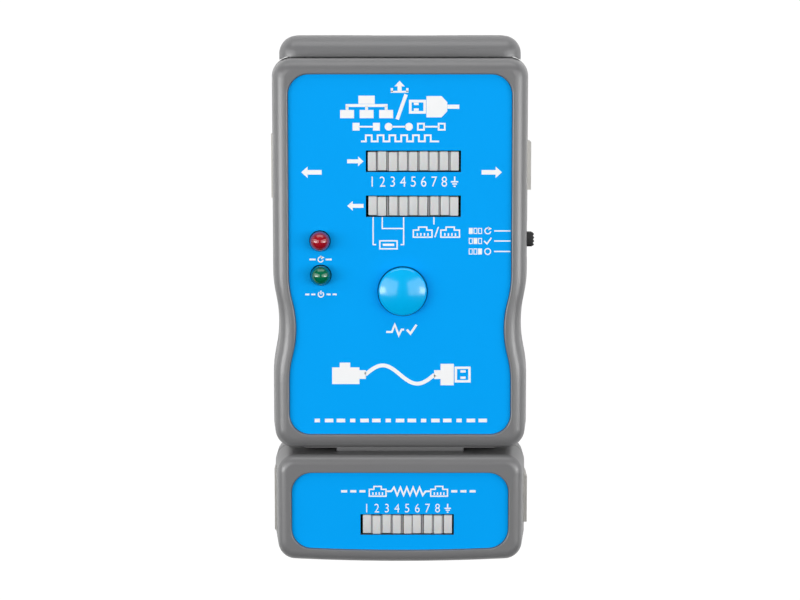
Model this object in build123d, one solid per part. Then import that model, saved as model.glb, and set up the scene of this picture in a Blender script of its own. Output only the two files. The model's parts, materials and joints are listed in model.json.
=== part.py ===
from build123d import *
import os

# A handheld LAN and USB cable tester with its remote terminator docked, lying on its back.
# Millimetres. +Z points out of the face, +Y towards the end sockets, +X to the right.
# The origin is on the rest plane, halfway along the docked length.

# Casing heights
crest_z = 27.2
face_z = 26.4
recess_z = 26.15
plate_under_z = 24.4
floor_top_z = 2.0
parting_z = 10.9
bottom_round = 2.2
lip_height = 1.4
side_draft = 1.3
end_draft = 0.2
remote_side_draft = 1.5

# Main unit outline
main_half_width = 32.3
main_top_y = 60.2
main_bottom_y = -37.0
main_corner = 4.8
waist_y = -6.6
waist_half_length = 13.4
waist_depth = 1.45
main_bead_round = 3.0
main_rim_round = 0.35
side_wall = 2.2
end_wall = 2.2
cavity_corner = 0.8

# Remote outline
remote_half_width = 31.95
remote_top_y = -38.4
remote_bottom_y = -65.2
remote_belly = 0.9
remote_corner = 4.6
remote_bead_round = 2.3
remote_rim_round = 0.3

# Labels
label_gap = 0.1
main_label_half_width = 27.5
main_label_top_y = 56.2
main_label_bottom_y = -33.2
main_label_waist = 1.75
label_corner = 5.0
remote_label_half_width = 27.1
remote_label_top_y = -43.1
remote_label_bottom_y = -62.05
remote_label_belly = 0.7

# Boards
board_z = 14.2
board_top_z = 15.8
main_board_top_y = 56.0
main_board_bottom_y = -4.4
main_board_half_width = 28.5
remote_board_top_y = -44.4
remote_board_bottom_y = -62.6

# Flat LEDs
led_pitch = 2.54
led_count = 9
led_width = 2.1
led_length = 4.7
led_top_z = 26.25
window_margin = 0.3
tx_row = (3.3, 34.9)
rx_row = (3.3, 23.8)
remote_row = (1.8, -56.3)

# Round LEDs
lamp_radius = 2.45
lamp_hole_radius = 2.65
lamp_proud = 3.3
auto_lamp = (-19.8, 15.2)
power_lamp = (-19.6, 6.7)

# Test button
button_x = 0.65
button_y = 2.7
button_radius = 6.0
button_hole_radius = 6.25
button_flange_radius = 6.9
button_wall_z = 28.0
button_dome = 1.4
button_rim_round = 0.7
plunger_top_z = 20.6

# Mode slide switch
mode_y = 14.3
mode_z = 11.4
mode_knob_half_length = 1.8
mode_knob_half_height = 1.5
mode_knob_tip_x = 34.0
mode_step = 2.65

# Sockets: mouth centre, bottom height, turn about +Z from a mouth facing +Y
lan_width = 16.1
lan_height = 13.2
lan_depth = 17.6
usb_b_width = 12.0
usb_b_height = 10.3
usb_b_depth = 16.5
usb_a_width = 13.1
usb_a_height = 5.7
usb_a_depth = 14.0
sheet = 0.35
lan_z = board_z - lan_height
usb_b_z = board_z - usb_b_height
usb_a_z = 6.9
tx_mouth_y = 65.3
tx_lan_x = 1.1
tx_usb_b_x = 21.1
tx_usb_a_x = -19.8
rx_y = 33.0
rx_lan_mouth_x = -32.4
rx_usb_mouth_x = 33.0
remote_socket_y = -52.3
remote_lan_mouth_x = -32.1
remote_usb_mouth_x = 32.5
socket_gap = 0.25

# End block
block_half_width = 30.2
block_back_y = 60.4
block_cheek = 2.2
block_front_y = 65.6
block_bottom_z = 0.2
block_top_z = 19.0
block_round = 4.5
spigot_half_width = 28.0
spigot_top_z = 17.2

# Dock rail on the main unit and slot in the remote
pad_half_width = 24.0
pad_y = -37.7
neck_half_width = 16.0
neck_y = -40.6
head_half_width = 19.0
head_y = -42.5
rail_bottom_z = 2.5
rail_top_z = 21.0
slot_gap = 0.3
pocket_back_y = -43.9

# Battery bay
bay_x = (-27.2, 25.2)
bay_y = (-34.9, -5.2)
battery_x = (-26.6, 19.8)
battery_y = (-33.4, -7.0)
battery_z = (3.0, 20.4)
battery_round = 2.0
terminal_spacing = 12.7
snap_x = (20.0, 24.6)
door_gap = 0.25
door_z = (0.3, 1.9)
door_tab_x = 12.0

# Screws
main_boss_places = [(-26.5, 44.9), (26.5, 44.9), (-25.8, -1.4), (25.8, -1.4)]
remote_boss_places = [(-11.4, -47.6), (11.4, -47.6)]
board_post_places = [(-13.5, 44.9), (13.5, 44.9), (-12.5, -1.4), (12.5, -1.4)]
case_boss_radius = 2.6
rear_boss_radius = 3.3
screw_head_radius = 2.3
counterbore_radius = 2.5
counterbore_z = 6.0
screw_shank_radius = 1.1
screw_tip_z = 18.0


def slab(x_range, y_range, z_range):
    """A box given by its low and high corners."""
    size = [pair[1] - pair[0] for pair in (x_range, y_range, z_range)]
    middle = [(pair[1] + pair[0]) / 2 for pair in (x_range, y_range, z_range)]
    return Pos(*middle) * Box(*size)


def post(x, y, radius, z_low, z_high):
    """An upright cylinder between two heights."""
    return Pos(x, y, (z_low + z_high) / 2) * Cylinder(radius, z_high - z_low)


def group(solids):
    """Separate solids that share one node."""
    return Compound(children=[s.solid() for s in solids])


def outline(half_width, y_top, y_bottom, corner, dip=0.0, belly=0.0):
    """Rounded plan outline; dip draws the sides in at the waist, belly bows the bottom end out."""
    top = (half_width, y_top)
    foot = (half_width, y_bottom)
    right = []
    if dip:
        half = waist_half_length
        start = (half_width, waist_y + half)
        upper = (half_width - dip / 2, waist_y + half / 2)
        deepest = (half_width - dip, waist_y)
        lower = (half_width - dip / 2, waist_y - half / 2)
        end = (half_width, waist_y - half)
        right.append(Line(top, start))
        right.append(TangentArc(start, upper, tangent=(0, -1)))
        right.append(TangentArc(deepest, upper, tangent=(0, 1)))
        right.append(TangentArc(deepest, lower, tangent=(0, -1)))
        right.append(TangentArc(end, lower, tangent=(0, 1)))
        right.append(Line(end, foot))
    else:
        right.append(Line(top, foot))
    left = [mirror(edge, about=Plane.YZ) for edge in right]
    head_run = Line(top, (-half_width, y_top))
    foot_run = Line(foot, (-half_width, y_bottom))
    if belly:
        foot_run = ThreePointArc(foot, (0, y_bottom - belly), (-half_width, y_bottom))
    runs = [*right, *left, head_run, foot_run]
    face = make_face([edge for run in runs for edge in run.edges()])
    ends = (y_top, y_bottom)
    corners = [
        v for v in face.vertices()
        if abs(abs(v.X) - half_width) < 0.01 and min(abs(v.Y - end) for end in ends) < 0.01
    ]
    return fillet(corners, corner)


def prism(face, z_low, z_high):
    """The plan face carried up from one height to another."""
    return Pos(0, 0, z_low) * extrude(face, z_high - z_low)


def edges_at(solid, z):
    """The edges that lie wholly at one height."""
    return [
        e for e in solid.edges()
        if abs(e.bounding_box().min.Z - z) < 0.001 and abs(e.bounding_box().max.Z - z) < 0.001
    ]


def main_outline(inset=0.0, corner=None):
    corner = main_corner - inset if corner is None else corner
    return outline(
        main_half_width - inset, main_top_y - inset, main_bottom_y + inset, corner, waist_depth
    )


def main_crest_outline():
    return outline(
        main_half_width - side_draft, main_top_y - end_draft, main_bottom_y + end_draft,
        main_corner - end_draft, waist_depth
    )


def remote_outline(inset=0.0):
    return outline(
        remote_half_width - inset, remote_top_y - inset, remote_bottom_y + inset,
        remote_corner - inset, belly=remote_belly
    )


def remote_crest_outline():
    return outline(
        remote_half_width - remote_side_draft, remote_top_y - end_draft,
        remote_bottom_y + end_draft, remote_corner - end_draft, belly=remote_belly
    )


def main_label_outline(inset=0.0):
    return outline(
        main_label_half_width - inset, main_label_top_y - inset, main_label_bottom_y + inset,
        label_corner - inset, main_label_waist
    )


def remote_label_outline(inset=0.0):
    return outline(
        remote_label_half_width - inset, remote_label_top_y - inset,
        remote_label_bottom_y + inset, label_corner - inset, belly=remote_label_belly
    )


def casing(plan, crest_plan, label_plan, bead_round, rim_round):
    """The closed outer form: drafted sides, rounded edges, raised bead and the label's recess."""
    solid = prism(plan, 0, parting_z)
    solid += loft([Pos(0, 0, parting_z) * plan, Pos(0, 0, crest_z) * crest_plan], ruled=True)
    solid = fillet(edges_at(solid, crest_z), bead_round)
    solid = fillet(edges_at(solid, 0), bottom_round)
    outer_rim = edges_at(solid, crest_z)
    recessed = solid - prism(label_plan, recess_z, crest_z + 1)
    old_lengths = sorted(round(e.length, 3) for e in outer_rim)
    rim = [e for e in edges_at(recessed, crest_z) if round(e.length, 3) not in old_lengths]
    return fillet(rim, rim_round)


def parting_groove(plan_at):
    """A shallow shadow groove round the outside at the parting line."""
    width = 0.5
    depth = 0.35
    low = parting_z - width / 2
    high = parting_z + width / 2
    return prism(plan_at(0.0), low, high) - prism(plan_at(depth), low, high)


def split_shells(body, lip_plan, lip_clear_plan):
    """Front and rear halves, with the rear half's inner lip standing into the front half."""
    big = 200
    below = slab((-big, big), (-big, big), (-1, parting_z))
    lip = prism(lip_plan, parting_z, parting_z + lip_height)
    lip_room = prism(lip_clear_plan, parting_z, parting_z + lip_height + 0.1)
    rear = body & (below + lip)
    front = body - below - lip_room
    return front, rear


def socket_room(width, height, depth, gap):
    """The space that a socket takes, with its mouth at y = 0 facing +Y and its bottom at z = 0."""
    return slab((-width / 2 - gap, width / 2 + gap), (-depth - gap, 4), (-gap, height + gap))


def place(shape, x, y, z, turn):
    return Pos(x, y, z) * Rot(0, 0, turn) * shape


def plug_space(depth, grow=0.0):
    """The stepped hollow that takes a modular plug, latch side up."""
    room = slab((-6 - grow, 6 + grow), (-depth, 1), (1.3 - grow, 8.8))
    room += slab((-4 - grow, 4 + grow), (-depth, 1), (8, 10.5))
    room += slab((-2.2 - grow, 2.2 + grow), (-depth, 1), (10, 11.9 + grow))
    return room


def lan_socket():
    """Shielded eight-way modular socket: sheet shell, moulded insert and contact wires."""
    half = lan_width / 2
    can = slab((-half, half), (-lan_depth, 0), (0, lan_height))
    hollow = slab((-half + sheet, half - sheet), (-lan_depth + sheet, -sheet),
                  (sheet, lan_height - sheet))
    shell = can - hollow - plug_space(3, 0.3)
    for side in (-1, 1):
        finger = slab((5.0, 6.6), (-2.6, -0.1), (7.2, 8.4))
        shell += finger if side > 0 else mirror(finger, about=Plane.YZ)
    insert = hollow - plug_space(13.5) - slab((-6.7, 6.7), (-3, 0), (1, 9))
    side_view = Polyline(
        (-3.2, 1.3), (-3.2, 1.75), (-4.4, 1.75), (-10.6, 3.9), (-10.75, 3.5), (-4.5, 1.3), close=True
    )
    strip = extrude(Plane.YZ * make_face(side_view), 0.25, both=True)
    wires = [Pos((i - 3.5) * 1.02, 0, 0) * strip for i in range(8)]
    return shell, insert, wires


def usb_b_mouth(width, height, cut, y_low, y_high):
    """The square opening with its two lower corners cut off."""
    half = width / 2
    low = usb_b_height / 2 - height / 2
    high = usb_b_height / 2 + height / 2
    face = make_face(Polyline(
        (-half + cut, low), (half - cut, low), (half, low + cut), (half, high),
        (-half, high), (-half, low + cut), close=True
    ))
    return Pos(0, y_high, 0) * extrude(Plane.XZ * face, y_high - y_low)


def usb_b_socket():
    """USB type B socket: sheet shell, insert with its square tongue, and four contacts."""
    half = usb_b_width / 2
    can = slab((-half, half), (-usb_b_depth, 0), (0, usb_b_height))
    hollow = slab((-half + sheet, half - sheet), (-usb_b_depth + sheet, -sheet),
                  (sheet, usb_b_height - sheet))
    shell = can - hollow - usb_b_mouth(9.4, 8.6, 2.2, -3, 1)
    insert = hollow - usb_b_mouth(8.6, 7.9, 2.0, -9.5, 1)
    middle = usb_b_height / 2
    tongue = slab((-2.9, 2.9), (-9.6, -1.0), (middle - 1.7, middle + 1.7))
    for x in (-1.25, 1.25):
        for level in (middle - 1.7, middle + 1.7):
            tongue -= slab((x - 0.5, x + 0.5), (-9.5, -1.6), (level - 0.2, level + 0.2))
    insert += tongue
    contacts = []
    for x in (-1.25, 1.25):
        contacts.append(slab((x - 0.5, x + 0.5), (-9.5, -1.6), (middle + 1.5, middle + 1.75)))
        contacts.append(slab((x - 0.5, x + 0.5), (-9.5, -1.6), (middle - 1.75, middle - 1.5)))
    return shell, insert, contacts


def flared_lip(length, reach):
    """One mouth lip: a strip that leans outwards from the shell's edge."""
    side_view = make_face(Polyline(
        (0, 0), (-0.9, 0), (-0.9, sheet), (-0.45, sheet), (0, reach), close=True
    ))
    return extrude(Plane.YZ * side_view, length / 2, both=True)


def usb_a_socket():
    """USB type A socket: sheet shell with flared lips, tongue in the upper half, contacts."""
    half = usb_a_width / 2
    can = slab((-half, half), (-usb_a_depth, 0), (0, usb_a_height))
    hollow = slab((-half + 0.3, half - 0.3), (-usb_a_depth + 0.3, 1), (0.3, usb_a_height - 0.3))
    shell = can - hollow
    reach = 0.75
    shell += Pos(0, 0, usb_a_height - 0.01) * flared_lip(usb_a_width - 1.2, reach)
    shell += Pos(0, 0, 0.01) * Rot(0, 180, 0) * flared_lip(usb_a_width - 1.2, reach)
    shell += Pos(half - 0.01, 0, usb_a_height / 2) * Rot(0, 90, 0) * flared_lip(3.6, reach)
    shell += Pos(-half + 0.01, 0, usb_a_height / 2) * Rot(0, -90, 0) * flared_lip(3.6, reach)
    leg_top = board_z - usb_a_z
    for x in (-half, half - 0.3):
        shell += slab((x, x + 0.3), (-11, -9), (usb_a_height - 0.5, leg_top))
    back = slab((-half + 0.35, half - 0.35), (-usb_a_depth + 0.35, -9.6), (0.35, usb_a_height - 0.35))
    tongue = back + slab((-5.5, 5.5), (-10, -0.9), (2.95, 4.85))
    contacts = []
    for i in range(4):
        x = (i - 1.5) * 2.3
        tongue -= slab((x - 0.55, x + 0.55), (-9.6, -1.6), (2.9, 3.15))
        contacts.append(slab((x - 0.5, x + 0.5), (-9.55, -1.65), (2.9, 3.15)))
    return shell, tongue, contacts


def end_block():
    """The separate end cap that frames the end sockets, held by a flange inside the casing."""
    cheek_y = block_back_y - block_cheek
    block = slab((-block_half_width, block_half_width), (cheek_y, block_front_y),
                 (block_bottom_z, block_top_z))
    big_edges = [
        e for e in block.edges()
        if e.center().Z > block_top_z - 0.1 and e.center().Y > cheek_y + 0.1
        or e.center().Y > block_front_y - 0.1 and abs(e.center().X) > block_half_width - 0.1
    ]
    block = fillet(big_edges, block_round)
    foot = [e for e in edges_at(block, block_bottom_z) if e.center().Y > cheek_y + 0.1]
    block = fillet(foot, 0.8)
    # the cheeks follow the casing's rounded corners
    block -= prism(main_outline(main_top_y - block_back_y), block_bottom_z - 1, block_top_z + 1)
    low = floor_top_z + 0.15
    half = spigot_half_width
    inner_wall_y = main_top_y - end_wall
    block += slab((-half, half), (inner_wall_y, block_back_y), (low, spigot_top_z))
    block += slab((-half - 1.2, half + 1.2), (inner_wall_y - 1.3, inner_wall_y),
                  (low, spigot_top_z + 1.2))
    block -= slab((-half + 1.6, half - 1.6), (inner_wall_y - 2, block_front_y - 2.2),
                  (low + 1.2, spigot_top_z - 1.4))
    room = socket_room(lan_width, lan_height, lan_depth, 0.3)
    block -= place(room, tx_lan_x, tx_mouth_y, lan_z, 0)
    block -= place(slab((-8.5, 8.5), (-3, 4), (0, 13.7)), tx_lan_x, tx_mouth_y, lan_z, 0)
    room = socket_room(usb_b_width, usb_b_height, usb_b_depth, 0.45)
    block -= place(room, tx_usb_b_x, tx_mouth_y, usb_b_z, 0)
    room = slab((-8.0, 8.0), (-usb_a_depth, 4), (-0.95, usb_a_height + 0.95))
    block -= place(room, tx_usb_a_x, tx_mouth_y, usb_a_z, 0)
    return block


def dock_rail():
    """T-shaped rail on the main unit's bottom end: pad, neck and head."""
    z_range = (rail_bottom_z, rail_top_z)
    rail = slab((-pad_half_width, pad_half_width), (pad_y, main_bottom_y + 0.9), z_range)
    rail += slab((-neck_half_width, neck_half_width), (neck_y, pad_y), z_range)
    rail += slab((-head_half_width, head_half_width), (head_y, neck_y), z_range)
    return rail


def dock_slot():
    """The room for the rail, open at the remote's back and shut under its front bead."""
    z_range = (-1, rail_top_z + 0.2)
    half = neck_half_width + slot_gap
    slot = slab((-half, half), (neck_y + 0.2, remote_top_y + 1), z_range)
    half = head_half_width + slot_gap
    return slot + slab((-half, half), (head_y - 0.2, neck_y + 0.2), z_range)


def led_windows(row):
    """Room for one row of flat LEDs through the front plate."""
    half = led_count * led_pitch / 2 + window_margin
    tall = led_length / 2 + window_margin
    return slab((row[0] - half, row[0] + half), (row[1] - tall, row[1] + tall), (23, 30))


def rear_boss(x, y):
    return post(x, y, rear_boss_radius, 1, parting_z)


def rear_screw_hole(x, y):
    hole = post(x, y, counterbore_radius, -1, counterbore_z)
    return hole + post(x, y, screw_shank_radius + 0.2, counterbore_z - 1, parting_z + 3)


def case_screw(x, y):
    """Pan-head screw seated in its counterbore, tip upwards."""
    head = post(x, y, screw_head_radius, counterbore_z - 1.8, counterbore_z)
    head = fillet(edges_at(head, counterbore_z - 1.8), 0.7)
    head -= Pos(x, y, counterbore_z - 1.5) * Box(2.6, 0.6, 0.8)
    head -= Pos(x, y, counterbore_z - 1.5) * Box(0.6, 2.6, 0.8)
    return head + post(x, y, screw_shank_radius, counterbore_z - 0.1, screw_tip_z)


def main_shells():
    body = casing(main_outline(), main_crest_outline(), main_label_outline(-label_gap),
                  main_bead_round, main_rim_round)
    body -= prism(main_outline(side_wall, cavity_corner), floor_top_z, plate_under_z)
    body += dock_rail()
    body -= parting_groove(main_outline)
    half = spigot_half_width + 0.2
    window = slab((-half, half), (main_top_y - 4, main_top_y + 1), (floor_top_z, spigot_top_z + 0.2))
    body -= window
    for room, x, y, z, turn in main_socket_rooms():
        body -= place(room, x, y, z, turn)
    front, rear = split_shells(body, main_outline(1.2), main_outline(1.1))
    front = finish_main_front(front)
    rear = finish_main_rear(rear)
    slot = slab((29, 36), (mode_y - mode_step - 2.05, mode_y + mode_step + 2.05),
                (mode_z - 1.8, mode_z + 1.8))
    return front - slot, rear - slot


def main_socket_rooms():
    lan = socket_room(lan_width, lan_height, lan_depth, socket_gap)
    usb = socket_room(usb_b_width, usb_b_height, usb_b_depth, socket_gap)
    return [
        (lan, tx_lan_x, tx_mouth_y, lan_z, 0),
        (lan, rx_lan_mouth_x, rx_y, lan_z, 90),
        (usb, rx_usb_mouth_x, rx_y, usb_b_z, -90),
    ]


def finish_main_front(front):
    """Bosses, board posts, battery ribs, the button's collar and the holes in the plate."""
    foot_z = parting_z + 0.05
    for x, y in main_boss_places:
        front += post(x, y, case_boss_radius, foot_z, plate_under_z + 0.5)
        front -= post(x, y, screw_shank_radius, foot_z - 1, screw_tip_z + 1)
    for x, y in board_post_places:
        front += post(x, y, 2.2, board_top_z, plate_under_z + 0.5)
        front -= post(x, y, 0.8, board_top_z - 1, board_top_z + 6)
    for x in (-20, -4, 12):
        front += slab((x - 0.7, x + 0.7), (battery_y[0], battery_y[1]),
                      (battery_z[1] + 0.3, plate_under_z + 0.5))
    collar = post(button_x, button_y, 8.2, plate_under_z - 3.4, plate_under_z + 0.5)
    front += collar - post(button_x, button_y, 7.2, plate_under_z - 4, plate_under_z)
    front -= post(button_x, button_y, button_hole_radius, plate_under_z - 1, crest_z)
    for x, y in (auto_lamp, power_lamp):
        front -= post(x, y, lamp_hole_radius, plate_under_z - 1, crest_z)
    for row in (tx_row, rx_row):
        front -= led_windows(row)
    return front


def finish_main_rear(rear):
    """Screw bosses, counterbores and the opening of the battery bay."""
    for x, y in main_boss_places:
        rear += rear_boss(x, y)
    for x, y in main_boss_places:
        rear -= rear_screw_hole(x, y)
    return rear - slab(bay_x, bay_y, (-1, floor_top_z + 0.5))


def main_label():
    label = prism(main_label_outline(), recess_z, face_z)
    label -= post(button_x, button_y, button_hole_radius, recess_z - 1, face_z + 1)
    for x, y in (auto_lamp, power_lamp):
        label -= post(x, y, lamp_hole_radius, recess_z - 1, face_z + 1)
    for row in (tx_row, rx_row):
        label -= led_windows(row)
    return label


def main_board():
    half = main_board_half_width
    board = slab((-half, half), (main_board_bottom_y, main_board_top_y), (board_z, board_top_z))
    for x, y in main_boss_places:
        board -= post(x, y, case_boss_radius + 0.3, board_z - 1, board_top_z + 1)
        outer = (x, x + 6) if x > 0 else (x - 6, x)
        board -= slab(outer, (y - 2.9, y + 2.9), (board_z - 1, board_top_z + 1))
    for x, y in board_post_places:
        board -= post(x, y, 1.1, board_z - 1, board_top_z + 1)
    return board


def board_screws():
    screws = []
    for x, y in board_post_places:
        head = fillet(edges_at(post(x, y, 1.9, board_z - 1.3, board_z), board_z - 1.3), 0.5)
        head -= Pos(x, y, board_z - 1.2) * Box(2.2, 0.5, 0.8)
        head -= Pos(x, y, board_z - 1.2) * Box(0.5, 2.2, 0.8)
        screws.append(head + post(x, y, 0.78, board_z - 0.1, board_top_z + 4.5))
    return screws


def led_row(row):
    """Nine flat LEDs on their legs."""
    leds = []
    for i in range(led_count):
        x = row[0] + (i - (led_count - 1) / 2) * led_pitch
        half = led_width / 2
        tall = led_length / 2
        body = slab((x - half, x + half), (row[1] - tall, row[1] + tall), (18.4, led_top_z))
        body = fillet(edges_at(body, led_top_z), 0.25)
        for leg_y in (-1.27, 1.27):
            y = row[1] + leg_y
            body += slab((x - 0.25, x + 0.25), (y - 0.25, y + 0.25), (board_top_z, 18.5))
        leds.append(body)
    return leds


def round_led(x, y):
    """Domed 5 mm LED with its flange and legs."""
    dome_z = face_z + lamp_proud - lamp_radius
    body = post(x, y, lamp_radius, 20, dome_z) + Pos(x, y, dome_z) * Sphere(lamp_radius)
    body += post(x, y, 2.9, 19, 20.2)
    for leg_x in (-1.27, 1.27):
        body += slab((x + leg_x - 0.25, x + leg_x + 0.25), (y - 0.25, y + 0.25), (board_top_z, 19.1))
    return body


def test_button():
    """Blue cap with a low dome, its retaining flange and the stem over the switch."""
    top = button_wall_z + button_dome
    dome_radius = (button_radius ** 2 + button_dome ** 2) / (2 * button_dome)
    flange_z = plate_under_z - 0.05
    cap = post(button_x, button_y, button_radius, flange_z - 1, top)
    cap &= Pos(button_x, button_y, top - dome_radius) * Sphere(dome_radius)
    rim = [e for e in cap.edges() if abs(e.center().Z - button_wall_z) < 0.2]
    cap = fillet(rim, button_rim_round)
    cap += post(button_x, button_y, button_flange_radius, flange_z - 1.2, flange_z)
    return cap + post(button_x, button_y, 1.6, plunger_top_z, flange_z - 1)


def test_switch():
    """Tactile switch body, bored for its plunger."""
    half = 3.0
    body = slab((button_x - half, button_x + half), (button_y - half, button_y + half),
                (board_top_z, board_top_z + 3.5))
    return body - post(button_x, button_y, 1.8, board_top_z + 1.1, board_top_z + 4)


def mode_switch():
    """Slide switch body, open towards the casing's side for its actuator."""
    body = slab((22.4, 29.3), (mode_y - 7, mode_y + 7), (board_z - 5.7, board_z))
    reach = mode_step + mode_knob_half_length + 0.25
    tall = mode_knob_half_height + 0.2
    return body - slab((26.9, 30), (mode_y - reach, mode_y + reach), (mode_z - tall, mode_z + tall))


def mode_knob():
    half = mode_knob_half_length
    tall = mode_knob_half_height
    knob = slab((27.1, mode_knob_tip_x), (mode_y - half, mode_y + half), (mode_z - tall, mode_z + tall))
    tip = [e for e in knob.edges() if e.center().X > mode_knob_tip_x - 0.01]
    return fillet(tip, 0.35)


def battery():
    body = slab(battery_x, battery_y, battery_z)
    long_edges = [e for e in body.edges() if e.length > battery_x[1] - battery_x[0] - 0.1]
    body = fillet(long_edges, battery_round)
    middle_y = (battery_y[0] + battery_y[1]) / 2
    middle_z = (battery_z[0] + battery_z[1]) / 2
    for side, radius in ((-1, 2.9), (1, 3.8)):
        y = middle_y + side * terminal_spacing / 2
        stud = Pos(battery_x[1] + 1.0, y, middle_z) * Rot(0, 90, 0) * Cylinder(radius, 2.2)
        body += stud
    return body


def battery_snap():
    middle_y = (battery_y[0] + battery_y[1]) / 2
    middle_z = (battery_z[0] + battery_z[1]) / 2
    snap = slab(snap_x, (middle_y - 12.3, middle_y + 12.3), (middle_z - 6.2, middle_z + 6.2))
    snap = fillet(snap.edges().filter_by(Axis.Z), 1.2)
    for side, radius in ((-1, 3.0), (1, 3.9)):
        y = middle_y + side * terminal_spacing / 2
        snap -= Pos(snap_x[0] + 1, y, middle_z) * Rot(0, 90, 0) * Cylinder(radius, 3.0)
    return snap


def snap_lead(start_y, crest, turn_y, end_x):
    """One battery lead, from the snap's outer face over to the board."""
    lead_radius = 0.6
    side_x = 26.9
    low = 15.5
    end_y = -2.9
    points = [
        (snap_x[1], start_y, low), (side_x, start_y, low), (side_x, turn_y, crest),
        (end_x, end_y, crest), (end_x, end_y, board_top_z)
    ]
    path = FilletPolyline(*points, radius=[0.9, 2.2, 1.8])
    section = Plane(origin=points[0], z_dir=(1, 0, 0)) * Circle(lead_radius)
    return sweep(section, path=path)


def battery_door():
    """Flat door with two hinge tabs over the floor's edge and a lug at the free end."""
    x_range = (bay_x[0] + door_gap, bay_x[1] - door_gap)
    door = slab(x_range, (bay_y[0] + 0.3, bay_y[1] - 0.2), door_z)
    edges = [e for e in edges_at(door, door_z[0]) if e.length > 1]
    door = fillet(edges, 0.3)
    for x in (-door_tab_x, door_tab_x):
        tab_x = (x - 3.5, x + 3.5)
        door += slab(tab_x, (battery_y[1] + 0.2, bay_y[1] - 0.2), (door_z[1] - 0.1, 3.3))
        door += slab(tab_x, (bay_y[1] - 0.3, bay_y[1] + 1.6), (2.15, 3.3))
    door += slab((-4, 4), (bay_y[0] + 0.4, bay_y[0] + 1.4), (door_z[1] - 0.1, 3.6))
    notch = Pos(0, bay_y[0] + 4.5, door_z[0] - 5.2) * Rot(0, 90, 0) * Cylinder(6, 12)
    door -= notch
    for i in range(3):
        y = bay_y[0] + 8.5 + 1.8 * i
        door -= slab((-6, 6), (y - 0.35, y + 0.35), (0, door_z[0] + 0.4))
    return door


def capacitors():
    cans = []
    for y in (6.5, 13.0):
        can = post(22.5, y, 2.5, board_top_z, board_top_z + 7)
        cans.append(fillet(edges_at(can, board_top_z + 7), 0.4))
    return cans


def controller_chip():
    """Moulded chip body with two rows of short legs."""
    middle = (2.0, 15.0)
    chip = slab((middle[0] - 9, middle[0] + 9), (middle[1] - 3.75, middle[1] + 3.75),
                (board_top_z + 0.1, board_top_z + 2.4))
    for i in range(14):
        x = middle[0] + (i - 6.5) * 1.27
        chip += slab((x - 0.2, x + 0.2), (middle[1] - 5.1, middle[1] + 5.1),
                     (board_top_z, board_top_z + 0.3))
    return chip


def chip_resistors(row, count, pitch):
    """A line of small surface-mount resistors."""
    return [
        slab((row[0] + i * pitch - 0.6, row[0] + i * pitch + 0.6), (row[1] - 1.0, row[1] + 1.0),
             (board_top_z, board_top_z + 0.55))
        for i in range(count)
    ]


def remote_shells():
    body = casing(remote_outline(), remote_crest_outline(), remote_label_outline(-label_gap),
                  remote_bead_round, remote_rim_round)
    half = remote_half_width - side_wall
    low_y = remote_bottom_y + 1.6
    body -= slab((-half, half), (low_y, pocket_back_y), (floor_top_z, plate_under_z))
    inner = head_half_width + slot_gap + 1.4
    for x_range in ((-half, -inner), (inner, half)):
        body -= slab(x_range, (pocket_back_y - 0.1, remote_top_y - end_wall),
                     (floor_top_z, plate_under_z))
    body -= parting_groove(remote_outline)
    body -= dock_slot()
    lan = socket_room(lan_width, lan_height, lan_depth, socket_gap)
    body -= place(lan, remote_lan_mouth_x, remote_socket_y, lan_z, 90)
    usb = socket_room(usb_b_width, usb_b_height, usb_b_depth, socket_gap)
    body -= place(usb, remote_usb_mouth_x, remote_socket_y, usb_b_z, -90)
    half = remote_half_width - 1.1
    lip = outline(half, -45, remote_bottom_y + 1.1, 3.4, belly=remote_belly)
    half = remote_half_width - 1.0
    lip_clear = outline(half, -45 + 0.1, remote_bottom_y + 1.0, 3.5, belly=remote_belly)
    front, rear = split_shells(body, lip, lip_clear)
    for x, y in remote_boss_places:
        front += post(x, y, 2.2, parting_z + 0.05, board_top_z + 1)
        front += post(x, y, 3.1, board_top_z, plate_under_z + 0.5)
        front -= post(x, y, screw_shank_radius, parting_z - 1, screw_tip_z + 1)
        rear += post(x, y, 3.0, 1, parting_z)
        rear -= rear_screw_hole(x, y)
    return front - led_windows(remote_row), rear


def remote_label():
    label = prism(remote_label_outline(), recess_z, face_z)
    return label - led_windows(remote_row)


def remote_board():
    board = slab((-29, 29), (remote_board_bottom_y, remote_board_top_y), (board_z, board_top_z))
    for x, y in remote_boss_places:
        board -= post(x, y, 2.35, board_z - 1, board_top_z + 1)
    return board


def socket_nodes(prefix, parts, names, x, y, z, turn):
    """The three nodes of one socket, placed."""
    shell, insert, contacts = parts
    return {
        f"{prefix}_{names[0]}": place(shell, x, y, z, turn),
        f"{prefix}_{names[1]}": place(insert, x, y, z, turn),
        f"{prefix}_{names[2]}": group([place(c, x, y, z, turn) for c in contacts]),
    }


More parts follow.
